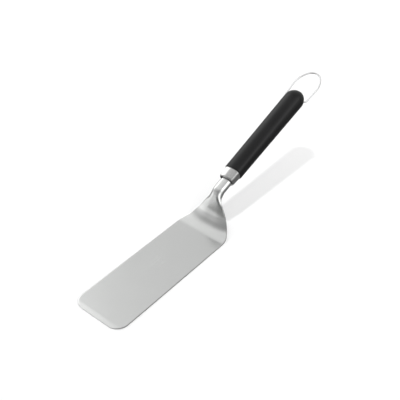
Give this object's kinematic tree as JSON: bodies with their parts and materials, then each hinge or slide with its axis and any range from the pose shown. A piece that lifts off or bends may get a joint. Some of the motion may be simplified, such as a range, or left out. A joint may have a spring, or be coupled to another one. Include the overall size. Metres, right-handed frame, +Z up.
{
  "type": "grill spatula",
  "caption": "Long flat turning blade on a cranked channel neck, with a soft-grip round handle and a swinging wire loop to hang it by.",
  "frame": {"origin": "on the surface that the blade lies on, below the middle of the whole tool's length", "axes": "+X along the tool from the blade's tip to the hanging loop, +Y across the blade, +Z up"},
  "size_m": [0.4472, 0.075, 0.1251],
  "materials": {
    "satin_steel": "satin",
    "polished_steel": "polished",
    "loop_wire": "polished",
    "rivet_aluminium": "satin",
    "core_plastic": "matte",
    "grip_rubber": "matte"
  },
  "bodies": {
    "spatula": {"blade": "satin_steel", "ferrule": "polished_steel", "core_upper": "core_plastic", "core_lower": "core_plastic", "tang_rivets": "rivet_aluminium", "grip_sleeve": "grip_rubber", "end_plug": "core_plastic"},
    "loop": {"hang_loop": "loop_wire"}
  },
  "joints": [
    {"name": "loop_swing", "type": "hinge", "parent": "spatula", "child": "loop", "pos_m": [0.17168, 0, 0.10671], "axis": [0, -1, 0], "range_deg": [-162, 165]}
  ]
}
